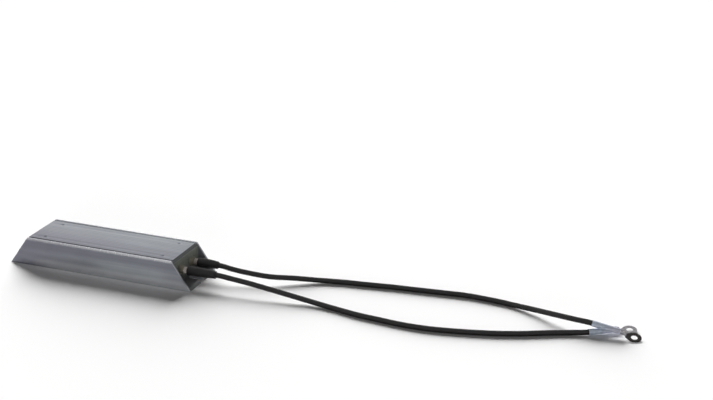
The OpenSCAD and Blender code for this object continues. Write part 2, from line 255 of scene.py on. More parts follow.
@dataclass(frozen=True)
class ExtrudedAluminium:
    """Mill-finish aluminium: extrusion lines, saw marks on the cut ends, painted shade and painted
    highlights.

    Each pair says where a tone begins and where it is full. A depth is taken down from the
    top, what is named along or across is a place on X or Y, and the last three are distances
    from the cut, the side and the field's edge.
    """

    half_length: float = 70 * MM
    height: float = 20 * MM
    half_width: float = 20 * MM
    end_inset: float = 14 * MM
    rib: float = 1.8 * MM
    field: float = 16.6 * MM
    cavity_half_width: float = 18 * MM
    cavity_floor: float = 2.5 * MM
    top_depth: Pair = (0.3 * MM, 0.6 * MM)
    rib_depth: Pair = (0.6 * MM, 1.7 * MM)
    groove_depth: Pair = (0.9 * MM, 1.1 * MM)
    # The pairs from here to the kerf place painted shade and painted light.
    upper_shade_depth: Pair = (4.0 * MM, 10.5 * MM)
    lower_light_depth: Pair = (12.0 * MM, 16.5 * MM)
    recess_shade_height: Pair = (4.0 * MM, 10.0 * MM)
    top_shade_across: Pair = (9.0 * MM, -15.0 * MM)
    top_shade_along: Pair = (-56.0 * MM, 50.0 * MM)
    highlight_along: Pair = (-50.0 * MM, 50.0 * MM)
    left_shade_along: Pair = (16.0 * MM, -56.0 * MM)
    end_shade_along: Pair = (42.0 * MM, 60.0 * MM)
    lower_light_along: Pair = (-62.0 * MM, -30.0 * MM)
    recess_shade_along: Pair = (0.0, 10.0 * MM)
    kerf: Pair = (0.03 * MM, 0.12 * MM)
    wall_cut_light: Pair = (-2.1 * MM, -0.7 * MM)
    groove_side: Pair = (-1.6 * MM, 0.2 * MM)
    pale: Triple = (0.342, 0.365, 0.392)
    deep: Triple = (0.232, 0.248, 0.270)
    # The next five colours are painted: shade, highlights, a dark reflection on the cut ends, shade
    # in the front groove and shade in the cavity.
    shade_tone: Triple = (0.150, 0.150, 0.186)
    highlight_tone: Triple = (0.62, 0.63, 0.65)
    cut_dark_reflection: Triple = (0.030, 0.032, 0.031)
    groove_shade: Triple = (0.085, 0.085, 0.10)
    recess_shade: Triple = (0.035, 0.035, 0.037)

    def material(self) -> Material:
        """Builds the finish.

        Returns:
            The material.
        """
        g = Graph.named("extruded_aluminium")
        point = g.place()
        x, y, z = g.split(point)
        across, drop = abs(y), self.height - z
        lines = g.streaks(point, (9.0, 900.0, 900.0), 3.0)
        fine = g.streaks(point, (30.0, 5200.0, 5200.0), 2.0)
        clouds = g.streaks(point, (26.0, 70.0, 70.0), 3.0, 0.55)
        bands = g.streaks(point, (5.0, 150.0, 150.0), 2.0, 0.5)
        scuffs = g.streaks(point, (900.0, 260.0, 260.0), 4.0, 0.65)
        strokes = g.streaks(point, (2600.0, 70.0, 2600.0), 3.0)

        inside = (self.half_length - abs(x)) - z * (self.end_inset / self.height)
        cut = 1.0 - inside.rise(*self.kerf)
        saw = strokes.rise(0.34, 0.66) * cut
        # Painted highlight: the side walls' cut faces are kept lighter than the rest of the cut
        # ends.
        wall_cut_light = (across - self.half_width).rise(*self.wall_cut_light)
        rib = (across - (self.half_width - self.rib)).rise(-0.1 * MM, 0.1 * MM)
        edge = rib * (1.0 - drop.rise(*self.rib_depth))
        # Painted shade in the groove along the front rib; the back groove gets none.
        groove = (-1.0 * y - self.field).rise(*self.groove_side) * (1.0 - rib)
        groove = groove * (1.0 - drop.rise(*self.groove_depth))
        top = 1.0 - drop.rise(*self.top_depth)
        # Painted shade: the top face is darker overall, and more so towards the front and the left
        # end.
        top_shade = y.rise(*self.top_shade_across) * 0.56 + 0.4 - x.rise(*self.top_shade_along) * 0.36
        # Painted shade on the faces below the top: darker towards the left end along a noisy edge,
        # near the top of each face and at the right end; lit is what this painted shade leaves.
        left_shade = (x + (clouds - 0.5) * (60.0 * MM)).rise(*self.left_shade_along) * 0.85
        upper_shade = 1.0 - drop.rise(*self.upper_shade_depth)
        lit = (1.0 - left_shade) * (1.0 - upper_shade * 0.75) * (1.0 - x.rise(*self.end_shade_along) * 0.4)
        # Painted light: the faces are lighter towards the bottom, fading out towards the left end.
        lower = drop.rise(*self.lower_light_depth) * x.rise(*self.lower_light_along)
        # Painted shade on the floor of the cavity and the foot of its walls, stronger at the end
        # with the leads.
        hollow = (self.cavity_half_width - across).rise(-0.1 * MM, 0.0)
        hollow = hollow * z.rise(self.cavity_floor - 0.2 * MM, self.cavity_floor - 0.05 * MM)
        hollow = hollow * (1.0 - z.rise(*self.recess_shade_height))

        tone = lines * 0.3 + fine * 0.15 + clouds * 0.25 + bands * 0.3
        base = g.blend(tone.rise(0.36, 0.64), self.deep, self.pale)
        for amount, colour in (
            # painted shade on the top face and on the faces below it
            (top * top_shade + (1.0 - top) * (1.0 - lit), self.shade_tone),
            # painted light low on the faces
            (lower * 0.55, self.highlight_tone),
            # painted shade in the front groove
            (groove * 0.5, self.groove_shade),
            # Painted highlight along the rounded ribs, stronger towards the right end and broken up
            # by scuffs.
            (edge * (x.rise(*self.highlight_along) * 0.22 + 0.36 + scuffs * 0.1), self.highlight_tone),
            # painted shade in the cavity
            (hollow * (x.rise(*self.recess_shade_along) * 0.5 + 0.25), self.recess_shade),
            # Painted dark reflection on the cut ends, lightened a little by the saw strokes and on
            # the side walls.
            (cut * (0.97 - wall_cut_light * 0.75) - saw * 0.1, self.cut_dark_reflection),
            # painted highlight on the side walls' cut faces
            (cut * wall_cut_light * 0.2, self.highlight_tone),
        ):
            base = g.blend(amount, base, colour)
        return g.surface(
            Base_Color=base,
            Metallic=0.62,
            Roughness=0.27 + lines * 0.12 + scuffs.rise(0.5, 0.8) * 0.12 - edge * 0.1 + saw * 0.08,
            Normal=g.bump(lines * 0.5 + fine * 0.5 + saw * 0.9, 0.02 * MM, 0.7),
        )


@dataclass(frozen=True)
class Mineral:
    """A fired, pressed or poured mineral, from smooth ceramic to coarse cement."""

    name: str
    pale: Triple
    deep: Triple
    grain: float
    roughness: float
    relief: float
    specular: float = 0.4
    # The next three fields paint shade low on the piece.
    low_shade_top: float = 0.0
    low_shade_fade: float = 5.0 * MM
    low_shade: Triple = (0.03, 0.03, 0.03)

    def material(self) -> Material:
        """Builds the finish.

        Returns:
            The material.
        """
        g = Graph.named(self.name)
        point = g.place()
        broad = g.noise(point, 160.0, 4.0, 0.6)
        grains = g.cells(point, self.grain)
        fine = g.noise(point, self.grain * 2.2, 3.0, 0.6)
        tone = broad * 0.6 + grains * 0.35 + fine * 0.2
        base = g.blend(tone.rise(0.3, 0.75), self.deep, self.pale)
        # Painted shade: darker towards the bottom, fading in below the given height.
        if self.low_shade_top:
            z = g.split(point)[2]
            low_shade = 1.0 - z.rise(self.low_shade_top - self.low_shade_fade, self.low_shade_top)
            base = g.blend(low_shade * 0.75, base, self.low_shade)
        return g.surface(
            Base_Color=base,
            Roughness=self.roughness - fine * 0.12,
            Specular_IOR_Level=self.specular,
            Normal=g.bump(grains * 0.6 + fine * 0.4, self.relief, 0.8),
        )


@dataclass(frozen=True)
class DrawnMetal:
    """Wire, tube or strip with faint lines along its length and a dull bloom."""

    name: str
    pale: Triple
    deep: Triple
    roughness: float
    along: Triple = (40.0, 2600.0, 2600.0)

    def material(self) -> Material:
        """Builds the finish.

        Returns:
            The material.
        """
        g = Graph.named(self.name)
        point = g.place()
        lines = g.streaks(point, self.along, 2.0)
        bloom = g.noise(point, 420.0, 4.0, 0.62)
        return g.surface(
            Base_Color=g.blend((lines * 0.4 + bloom * 0.6).rise(0.35, 0.65), self.deep, self.pale),
            Metallic=1.0,
            Roughness=self.roughness + bloom * 0.16,
            Normal=g.bump(lines, 0.01 * MM, 0.6),
        )


@dataclass(frozen=True)
class MicaSheet:
    """Split mica, in flakes with a slight sheen."""

    pale: Triple = (0.80, 0.76, 0.66)
    deep: Triple = (0.60, 0.53, 0.40)

    def material(self) -> Material:
        """Builds the finish.

        Returns:
            The material.
        """
        g = Graph.named("mica_sheet")
        point = g.place()
        flakes = g.cells(g.stretched(point, (1.0, 1.0, 0.25)), 320.0)
        clouds = g.noise(point, 240.0, 3.0, 0.6)
        return g.surface(
            Base_Color=g.blend(flakes.rise(0.1, 0.8), self.deep, self.pale),
            Roughness=0.28 + clouds * 0.25,
            Coat_Weight=0.3,
            Normal=g.bump(flakes, 0.03 * MM, 0.6),
        )


@dataclass(frozen=True)
class Jacket:
    """Black flexible insulation, with a soft sheen and a trace of dust."""

    name: str
    tone: Triple
    dust: Triple
    roughness: float
    ripple: Triple
    relief: float

    def material(self) -> Material:
        """Builds the finish.

        Returns:
            The material.
        """
        g = Graph.named(self.name)
        point = g.place()
        skin = g.noise(point, 3200.0, 3.0, 0.6)
        ripples = g.streaks(point, self.ripple, 3.0, 0.55)
        dusty = g.noise(point, 210.0, 5.0, 0.65)
        return g.surface(
            Base_Color=g.blend(dusty.rise(0.48, 0.78) * 0.5, self.tone, self.dust),
            Roughness=self.roughness + dusty.rise(0.45, 0.75) * 0.22 + skin * 0.05,
            Specular_IOR_Level=0.28,
            Normal=g.bump(skin * 0.25 + ripples * 0.75, self.relief, 0.8),
        )


@dataclass(frozen=True)
class Braid:
    """Braided glass fibre round a lead: two sets of yarns that cross."""

    name: str
    centre: Triple
    yarns: float = 8.0
    pitch: float = 5600.0
    pale: Triple = (0.74, 0.68, 0.65)
    deep: Triple = (0.34, 0.30, 0.27)

    def material(self) -> Material:
        """Builds the finish.

        Returns:
            The material.
        """
        g = Graph.named(self.name)
        x, y, z = g.split(g.local(self.centre))
        angle = g.math("ARCTAN2", y, z)
        one = (angle * self.yarns + x * self.pitch).sine() * 0.5 + 0.5
        other = (angle * self.yarns - x * self.pitch).sine() * 0.5 + 0.5
        weave = one.larger(other)
        fibre = g.noise(g.place(), 7000.0)
        return g.surface(
            Base_Color=g.blend(weave.rise(0.25, 0.9), self.deep, self.pale),
            Roughness=0.72,
            Sheen_Weight=0.2,
            Normal=g.bump(weave * 0.8 + fibre * 0.2, 0.18 * MM, 0.9),
        )


@dataclass(frozen=True)
class Vinyl:
    """Blue-grey tube over a terminal, slightly cloudy, with moulding lines along it."""

    name: str
    origin: Triple
    turn: Triple
    waist: float = 16.0 * MM
    waist_half: float = 2.6 * MM
    lilac_along: Pair = (7.0 * MM, 15.0 * MM)
    pale: Triple = (0.58, 0.645, 0.75)
    deep: Triple = (0.42, 0.475, 0.57)
    lilac: Triple = (0.56, 0.545, 0.665)

    def material(self) -> Material:
        """Builds the finish.

        Returns:
            The material.
        """
        g = Graph.named(self.name)
        own = g.local(self.origin, self.turn)
        x, _, _ = g.split(own)
        clouds = g.noise(own, 420.0, 3.0, 0.6)
        lines = g.streaks(own, (60.0, 2400.0, 2400.0), 2.0, 0.5)
        waist = abs(x - self.waist).rise(0.0, self.waist_half)
        base = g.blend((clouds * 0.7 + lines * 0.3).rise(0.35, 0.65), self.deep, self.pale)
        return g.surface(
            Base_Color=g.blend(x.rise(*self.lilac_along) * 0.6, base, self.lilac),
            Roughness=0.30 + clouds * 0.14,
            Subsurface_Weight=0.12,
            Subsurface_Radius=(0.6, 0.7, 0.9),
            Subsurface_Scale=0.6 * MM,
            Coat_Weight=0.2,
            Normal=g.bump(lines * 0.5 + waist * 0.5, 0.08 * MM, 0.7),
        )


@dataclass(frozen=True)
class TinPlate:
    """Tinned copper, stamped and crimped: drawn lines, small pits and painted shade on the ring."""

    name: str
    origin: Triple
    turn: Triple
    ring_shade: float
    ring_along: Pair = (22.6 * MM, 24.2 * MM)
    pale: Triple = (0.36, 0.355, 0.365)
    deep: Triple = (0.17, 0.165, 0.175)
    ring_shade_tone: Triple = (0.022, 0.020, 0.019)

    def material(self) -> Material:
        """Builds the finish.

        Returns:
            The material.
        """
        g = Graph.named(self.name)
        own = g.local(self.origin, self.turn)
        drawn = g.streaks(own, (120.0, 3600.0, 3600.0), 3.0)
        stains = g.noise(own, 700.0, 4.0, 0.65)
        pits = g.cells(own, 5200.0)
        x, _, _ = g.split(own)
        # Painted shade over the ring, as strong as the lead asks for.
        ring = (x + stains * (2.0 * MM)).rise(*self.ring_along) * self.ring_shade
        base = g.blend((drawn * 0.4 + stains * 0.6).rise(0.33, 0.62), self.deep, self.pale)
        return g.surface(
            Base_Color=g.blend(ring, base, self.ring_shade_tone),
            Metallic=1.0,
            Roughness=0.24 + stains * 0.22,
            Normal=g.bump(drawn * 0.5 + pits * 0.5, 0.01 * MM, 0.6),
        )


@dataclass(frozen=True)
class Strands:
    """Bare copper strands, seen as a bundle."""

    name: str
    origin: Triple
    turn: Triple = ZERO
    pale: Triple = (0.56, 0.50, 0.46)
    deep: Triple = (0.33, 0.28, 0.25)

    def material(self) -> Material:
        """Builds the finish.

        Returns:
            The material.
        """
        g = Graph.named(self.name)
        own = g.local(self.origin, self.turn)
        wires = g.cells(g.stretched(own, (0.1, 1.0, 1.0)), 3000.0)
        bloom = g.noise(own, 900.0, 3.0, 0.6)
        return g.surface(
            Base_Color=g.blend(bloom.rise(0.35, 0.7), self.deep, self.pale),
            Metallic=1.0,
            Roughness=0.3 + bloom * 0.2,
            Normal=g.bump(wires, 0.15 * MM, 1.0),
        )


# The sealing compound is painted darker towards the bottom, as shade.
SEAL = Mineral("sealing_compound", (0.206, 0.217, 0.185), (0.136, 0.146, 0.123), 1900.0, 0.55,
               0.10 * MM, low_shade_top=10.0 * MM)


# --- Modelling ---


class Piece:
    """One modelled piece: a primitive that is shaped in edit mode and finished with modifiers."""

    def __init__(self, name: str) -> None:
        """Sets the piece's name; nothing is made yet."""
        self.name = name
        self.object: Optional[Object] = None

    def start(self, primitive: Callable[..., Any], **settings: Any) -> None:
        """Adds the primitive that the piece is shaped from, and selects it in edit mode.

        Args:
            primitive: The operator that adds it.
            settings: The operator's settings, with sizes and places in metres.
        """
        bpy.ops.object.select_all(action="DESELECT")
        primitive(**settings)
        self.object = bpy.context.object
        self.object.name = self.name
        self.object.data.name = self.name
        bpy.ops.object.transform_apply()
        bpy.ops.object.mode_set(mode="EDIT")
        bpy.ops.mesh.select_mode(type="VERT")

    def start_from(self, node: Object) -> None:
        """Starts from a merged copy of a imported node's mesh, and selects it in edit mode.

        Args:
            node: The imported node's object.
        """
        mesh = node.data.copy()
        mesh.name = self.name
        self.object = bpy.data.objects.new(self.name, mesh)
        bpy.context.scene.collection.objects.link(self.object)
        self.leave_edit()
        bpy.ops.object.mode_set(mode="EDIT")
        bpy.ops.mesh.select_all(action="SELECT")
        bpy.ops.mesh.remove_doubles(threshold=WELD)

    def pick(self, test: Callable[[Vector], bool], edges: bool = False) -> None:
        """Selects only the vertices, or the edges, that a test accepts.

        Args:
            test: Says of a vertex's place whether it is wanted.
            edges: True to select the edges whose two vertices are wanted.
        """
        bpy.ops.mesh.select_all(action="DESELECT")
        mesh = bmesh.from_edit_mesh(self.object.data)
        wanted = {v.index for v in mesh.verts if test(v.co)}
        mesh.select_mode = {"EDGE" if edges else "VERT"}
        for item in mesh.edges if edges else mesh.verts:
            if {v.index for v in (item.verts if edges else (item,))} <= wanted:
                item.select_set(True)
        bmesh.update_edit_mesh(self.object.data)

    def leave_edit(self) -> None:
        """Goes back to object mode, with only this piece selected."""
        if self.object.mode != "OBJECT":
            bpy.ops.object.mode_set(mode="OBJECT")
        bpy.ops.object.select_all(action="DESELECT")
        self.object.select_set(True)
        bpy.context.view_layer.objects.active = self.object

    def modifier(self, kind: str, **settings: Any) -> None:
        """Adds a modifier to the finished shape and applies it.

        Args:
            kind: The modifier's type name.
            settings: The modifier's settings.
        """
        self.leave_edit()
        modifier = self.object.modifiers.new(kind.lower(), kind)
        for key, value in settings.items():
            setattr(modifier, key, value)
        bpy.ops.object.modifier_apply(modifier=modifier.name)

    def settle(self, matrix: Matrix) -> None:
        """Moves the piece to its place, and leaves that place in its mesh.

        Args:
            matrix: The move, from the frame that the piece was modelled in.
        """
        self.leave_edit()
        self.object.matrix_world = matrix
        bpy.ops.object.transform_apply()

    def turn_out(self) -> None:
        """Makes all faces point outwards, from edit mode."""
        bpy.ops.mesh.select_all(action="SELECT")
        bpy.ops.mesh.remove_doubles(threshold=WELD)
        bpy.ops.mesh.normals_make_consistent()

    def finish(self, material: Material, slot: Slot, sharp: float, node: str = "") -> Object:
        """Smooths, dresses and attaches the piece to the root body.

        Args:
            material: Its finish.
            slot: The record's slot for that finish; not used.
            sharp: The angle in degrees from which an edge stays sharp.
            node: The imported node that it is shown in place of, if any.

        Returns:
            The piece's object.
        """
        self.leave_edit()
        bpy.ops.object.shade_smooth_by_angle(angle=math.radians(sharp))
        self.object.data.materials.clear()
        self.object.data.materials.append(material)
        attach(self.object, "root")
        if node:
            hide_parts(node)
        log.info("%s: %d faces", self.name, len(self.object.data.polygons))
        return self.object


def revolved(name: str, profile: List[Pair], centre: Triple) -> Piece:
    """Spins a profile round a line along X.

    Args:
        name: The piece's name.
        profile: Pairs of a place along X and a radius, in metres, round the whole section.
        centre: A point on the line.

    Returns:
        The piece, in edit mode, closed and with its faces outwards.
    """
    piece = Piece(name)
    _, y, z = centre
    x, r = profile[0]
    piece.start(bpy.ops.mesh.primitive_plane_add, size=1.0 * MM, location=(x, y, z + r))
    bpy.ops.mesh.merge(type="CENTER")
    for before, after in zip(profile, profile[1:] + profile[:1]):
        step = (after[0] - before[0], 0.0, after[1] - before[1])
        bpy.ops.mesh.extrude_region_move(TRANSFORM_OT_translate={"value": step})
    bpy.ops.mesh.select_all(action="SELECT")
    bpy.ops.mesh.spin(steps=48, angle=2.0 * math.pi, center=(0.0, y, z), axis=(1.0, 0.0, 0.0))
    piece.turn_out()
    return piece


def dress(node: str, material: Material) -> None:
    """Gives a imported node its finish.

    Args:
        node: The node's name.
        material: Its finish.
    """
    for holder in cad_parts[node].material_slots:
        holder.material = material
    log.info("%s: dressed in %s", node, material.name)


# --- Sub-assemblies ---


@dataclass
class Studio:
    """The floor, the lights, the surroundings and the camera."""

    eye: Triple = (0.5959, -1.0244, 0.4933)
    forward: Triple = (-0.34969, 0.86769, -0.35331)
    upward: Triple = (-0.13636, 0.32597, 0.93550)
    lens: float = 91.94
    floor_size: float = 9.0
    floor_tone: Triple = (1.0, 1.0, 1.0)
    ambience: Triple = (1.0, 0.965, 0.95)
    ambient_level: float = 0.06

    def place_camera(self) -> None:
        """Sets up the camera at the chosen view."""
        bpy.ops.object.camera_add(location=self.eye)
        camera = bpy.context.object
        back = -Vector(self.forward).normalized()
        up = Vector(self.upward).normalized()
        right = up.cross(back).normalized()
        up = back.cross(right)
        turn = Matrix((right, up, back)).transposed()
        camera.matrix_world = Matrix.Translation(self.eye) @ turn.to_4x4()
        camera.data.lens = self.lens
        camera.data.sensor_width = 36.0
        camera.data.clip_start = 0.02
        camera.data.clip_end = 40.0
        bpy.context.scene.camera = camera

    def lay_floor(self) -> None:
        """Lays the pale floor."""
        bpy.ops.object.select_all(action="DESELECT")
        bpy.ops.mesh.primitive_plane_add(size=self.floor_size, location=(0.0, 0.0, 0.0))
        floor = bpy.context.object
        floor.name = "studio_floor"
        finish = Graph.named("pale_floor").surface(
            Base_Color=self.floor_tone, Roughness=0.9, Specular_IOR_Level=0.0
        )
        floor.data.materials.append(finish)

    def add_lamp(self, name: str, source: Triple, spread: float, level: float) -> None:
        """Adds a soft light, from so far away that it lights the whole floor alike.

        Args:
            name: The lamp's name.
            source: The direction that the light comes from.
            spread: The angle in degrees that the source fills, which softens the shadows.
            level: What it gives to the floor, where 1 shows a colour as it is written.
        """
        bpy.ops.object.light_add(type="SUN", location=(Vector(source) * 2.0))
        lamp = bpy.context.object
        lamp.name = name
        toward = Vector(source).normalized()
        lamp.data.angle = math.radians(spread)
        lamp.data.energy = level * math.pi / toward.z
        lamp.rotation_euler = (-toward).to_track_quat("-Z", "Y").to_euler()
        lamp.visible_glossy = False

    def fill_surroundings(self) -> None:
        """Sets what the surroundings give as light, and the white that is seen in them."""
        world = bpy.data.worlds.new("surroundings")
        bpy.context.scene.world = world
        g = Graph(world)
        path = g.add("ShaderNodeLightPath").outputs
        seen = Signal(g, path["Is Camera Ray"]).larger(Signal(g, path["Is Glossy Ray"]))
        seen = seen.larger(Signal(g, path["Is Transmission Ray"]))
        lit, white = (
            g.out("ShaderNodeBackground", inputs={"Color": colour, "Strength": strength})
            for colour, strength in ((self.ambience, self.ambient_level), ((1.0, 1.0, 1.0), 1.0))
        )
        sky = g.out("ShaderNodeMixShader", inputs={0: seen, 1: lit, 2: white})
        g.add("ShaderNodeOutputWorld", {}, {"Surface": sky})

    def build(self) -> None:
        """Builds the whole stage."""
        self.place_camera()
        self.lay_floor()
        self.fill_surroundings()
        self.add_lamp("key_lamp", source=(-0.53, 0.77, 0.35), spread=46.0, level=0.92)
        self.add_lamp("fill_lamp", source=(0.25, -0.94, 0.16), spread=12.0, level=0.032)
        bpy.context.scene.view_settings.view_transform = "Standard"
        log.info("stage is ready")


@dataclass
class Lead:
    """One lead: its free cord, the sleeves on it and the ring terminal at its end."""

    side: Side
    sleeve_end: float
    route: Sequence[Triple]
    terminal_place: Triple
    tilt: Triple
    # how much painted shade darkens the terminal's ring
    ring_shade: float
    span_steps: int = 10
    inner_start: float = 52.5 * MM
    radius: float = 1.8 * MM
    bore_gap: float = 0.02 * MM
    exit_x: float = 60.5 * MM
    sleeve_start: float = 63.0 * MM
    sleeve_radius: float = 3.25 * MM
    sleeve_bore: float = 2.2 * MM
    sleeve_tip: float = 2.6 * MM
    sleeve_taper: float = 70.0 * MM
    barrel_start: float = 13.0 * MM
    barrel_length: float = 7.0 * MM
    seam_pinch: float = 0.35
    ring_x: float = 28.0 * MM
    ring_radius: float = 4.75 * MM
    hole_radius: float = 2.15 * MM
    sheet: float = 0.8 * MM
    tube_length: float = 19.0 * MM
    tube_radius: float = 2.05 * MM
    tongue_half: float = 2.2 * MM
    tongue_gap: float = 0.65 * MM
    tongue_reach: float = math.radians(57.0)
    tongue_foot: float = math.radians(55.0)

    @property
    def turn(self) -> Triple:
        """The terminal's XYZ Euler angles, in radians."""
        return tuple(math.radians(degrees) for degrees in self.tilt)

    @property
    def placing(self) -> Matrix:
        """The terminal's own frame, with X from the lead to the ring."""
        turn = Euler(self.turn, "XYZ").to_matrix()
        return Matrix.Translation(self.terminal_place) @ turn.to_4x4()

    def centreline(self) -> List[Vector]:
        """The line that the lead follows, from inside the housing to inside the barrel.

        Returns:
            The points of the line, in order.
        """
        start = Vector(self.side.on_axis(self.sleeve_end))
        points = [start] + [Vector(p) for p in self.route] + [Vector(self.terminal_place)]
        ahead = Vector((1.0, 0.0, 0.0))
        way = self.placing.to_3x3() @ ahead
        tangents = [ahead * (points[1] - points[0]).length]
        tangents += [(after - before) / 2.0 for before, after in zip(points, points[2:])]
        tangents += [way * (points[-1] - points[-2]).length]
        inside = self.sleeve_end - self.inner_start
        line = [Vector(self.side.on_axis(self.inner_start + inside * k / 8.0)) for k in range(8)]
        for a, b, ta, tb in zip(points, points[1:], tangents, tangents[1:]):
            for u in (k / self.span_steps for k in range(self.span_steps)):
                p = (
                    (2 * u**3 - 3 * u**2 + 1) * a
                    + (u**3 - 2 * u**2 + u) * ta
                    + (3 * u**2 - 2 * u**3) * b
                    + (u**3 - u**2) * tb
                )
                p.z = max(p.z, self.radius)
                line.append(p)
        return line + [points[-1] + way * self.barrel_start * k / 4.0 for k in range(5)]

    def make_cord(self) -> Tuple[Object, float]:
        """Makes the flexible lead itself, as a curve with a round section.

        Returns:
            The curve's object and the lead's real length.
        """
        word = self.side.word
        line = self.centreline()
        name = "lead_wire_" + word
        curve = bpy.data.curves.new(name, "CURVE")
        curve.dimensions = "3D"
        curve.bevel_depth = self.radius
        curve.bevel_resolution = 6
        curve.use_fill_caps = True
        spline = curve.splines.new("POLY")
        spline.points.add(len(line) - 1)
        for point, place in zip(spline.points, line):
            point.co = (*place, 1.0)
        spline.use_smooth = True
        jacket = Jacket("lead_jacket_" + word, (0.0105, 0.0098, 0.0098),
                        (0.034, 0.031, 0.032), 0.42, (90.0, 90.0, 90.0), 0.05 * MM)
        curve.materials.append(jacket.material())
        cord = bpy.data.objects.new(name, curve)
        bpy.context.scene.collection.objects.link(cord)
        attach(cord, "root")
        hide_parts("lead_" + word)
        length = sum((b - a).length for a, b in zip(line, line[1:]))
        log.info("%s: %.1f mm long", name, length / MM)
        return cord, length

    def make_exit_sleeve(self) -> Object:
        """Makes the black shrunk sleeve where the lead leaves the housing.

        Returns:
            The sleeve's object.
        """
        word = self.side.word
        a, b, r = self.sleeve_start, self.sleeve_end, self.sleeve_radius
        bore, tip, taper = self.sleeve_bore, self.sleeve_tip, self.sleeve_taper
        span, fall, snug = b - taper, r - tip, self.radius + self.bore_gap
        profile = [
            (a, bore + 0.05 * MM), (a, r - 0.35 * MM), (a + 0.1 * MM, r - 0.15 * MM),
            (a + 0.3 * MM, r - 0.03 * MM), (a + 0.6 * MM, r), (a + 2.2 * MM, r),
            (a + 2.8 * MM, r - 0.05 * MM), (taper - 1.6 * MM, r - 0.05 * MM),
            (taper - 0.8 * MM, r - 0.02 * MM), (taper, r - 0.04 * MM),
            (taper + 0.2 * span, r - 0.23 * fall), (taper + 0.6 * span, r - 0.66 * fall),
            (b - 1.1 * MM, tip + 0.06 * fall), (b - 0.4 * MM, tip),
            (b - 0.12 * MM, tip - 0.06 * MM), (b, tip - 0.22 * MM), (b, snug),
            (b - 1.0 * MM, snug), (b - 1.05 * MM, bore), (a + 1.0 * MM, bore),
        ]
        piece = revolved("exit_tube_" + word, profile, self.side.on_axis())
        shrink = Jacket("shrunk_sleeve_" + word, (0.009, 0.0085, 0.0088),
                        (0.03, 0.028, 0.029), 0.55, (500.0, 900.0, 900.0), 0.12 * MM)
        return piece.finish(shrink.material(), Slot.SHRINK, 40.0, "exit_sleeve_" + word)

    def make_terminal_tube(self) -> Object:
        """Makes the vinyl tube over the terminal's barrel.

        Returns:
            The tube's object.
        """
        word = self.side.word
        r, bore, end = self.tube_radius, self.radius + self.bore_gap, self.tube_length
        profile = [
            (0.0, bore + 0.06 * MM), (0.0, r - 0.06 * MM), (0.08 * MM, r), (2.0 * MM, r),
            (9.0 * MM, r - 0.05 * MM), (12.4 * MM, r - 0.04 * MM), (13.2 * MM, r),
            (end - 1.2 * MM, r), (end - 0.1 * MM, r - 0.02 * MM), (end, r - 0.1 * MM),
            (end, bore), (1.0 * MM, bore),
        ]
        piece = revolved("terminal_tube_" + word, profile, ZERO)
        piece.settle(self.placing)
        vinyl = Vinyl("vinyl_" + word, self.terminal_place, self.turn)
        return piece.finish(vinyl.material(), Slot.VINYL, 40.0, "terminal_sleeve_" + word)

    def make_terminal(self) -> Object:
        """Stamps the ring terminal from sheet: a ring, a tongue and a rolled barrel.

        Returns:
            The terminal's object.
        """
        word = self.side.word
        mid = -self.radius + self.sheet / 2.0
        near = 0.02 * MM
        ring_middle = (self.ring_x, 0.0, mid)
        piece = Piece("ring_terminal_" + word)
        piece.start(bpy.ops.mesh.primitive_circle_add, vertices=72, radius=self.ring_radius,
                    location=ring_middle)
        bpy.ops.mesh.select_all(action="SELECT")
        bpy.ops.mesh.extrude_edges_move()
        inner = self.hole_radius / self.ring_radius
        bpy.ops.transform.resize(value=(inner, inner, 1.0), center_override=ring_middle)
        piece.pick(
            lambda v: math.hypot(v.x - self.ring_x, v.y) > self.ring_radius - near
            and abs(math.atan2(v.y, self.ring_x - v.x)) < self.tongue_reach,
            edges=True,
        )
        bpy.ops.mesh.extrude_edges_move()
        neck = self.ring_x - self.ring_radius - self.tongue_gap
        wide = self.tongue_half / (self.ring_radius * math.sin(self.tongue_foot))
        bpy.ops.transform.resize(value=(0.0, wide, 1.0), center_override=(neck, 0.0, mid))
        barrel_end = self.barrel_start + self.barrel_length
        roll_radius = self.radius - self.sheet / 2.0
        bpy.ops.mesh.primitive_circle_add(
            vertices=24, radius=roll_radius, location=(barrel_end, 0.0, 0.0),
            rotation=(0.0, math.pi / 2.0, 0.0),
        )
        piece.pick(lambda v: abs(v.x - barrel_end) < near and v.z > 0.99 * roll_radius)
        bpy.ops.mesh.delete(type="VERT")
        piece.pick(lambda v: abs(v.x - barrel_end) < near and v.z > 0.93 * roll_radius)
        bpy.ops.transform.resize(value=(1.0, self.seam_pinch, 1.0),
                                 center_override=(barrel_end, 0.0, 0.0))
        piece.pick(lambda v: abs(v.x - barrel_end) < near, edges=True)
        bpy.ops.mesh.extrude_edges_move(
            TRANSFORM_OT_translate={"value": (-self.barrel_length, 0.0, 0.0)}
        )
        piece.pick(lambda v: abs(v.x - barrel_end) < near or abs(v.x - neck) < near, edges=True)
        bpy.ops.mesh.bridge_edge_loops(number_cuts=4, interpolation="LINEAR")
        piece.turn_out()
        piece.modifier("SOLIDIFY", thickness=self.sheet, offset=0.0, use_even_offset=True,
                       thickness_clamp=1.0)
        piece.modifier("BEVEL", width=0.09 * MM, segments=2, limit_method="ANGLE",
                       angle_limit=math.radians(50.0))
        piece.settle(self.placing)
        tin = TinPlate("tin_" + word, self.terminal_place, self.turn, self.ring_shade)
        return piece.finish(tin.material(), Slot.TERMINAL, 32.0, "terminal_" + word)

    def build(self) -> None:
        word = self.side.word
        cord, length = self.make_cord()
        on_it = [self.make_exit_sleeve(), self.make_terminal_tube(), self.make_terminal()]
        for node, finish in (
            ("inner_sleeve_" + word, Braid("braid_" + word, self.side.on_axis())),
            ("strand_end_" + word, Strands("strands_" + word, self.terminal_place, self.turn)),
        ):
            dress(node, finish.material())
            on_it.append(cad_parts[node])
        self.side.on_axis(self.exit_x)


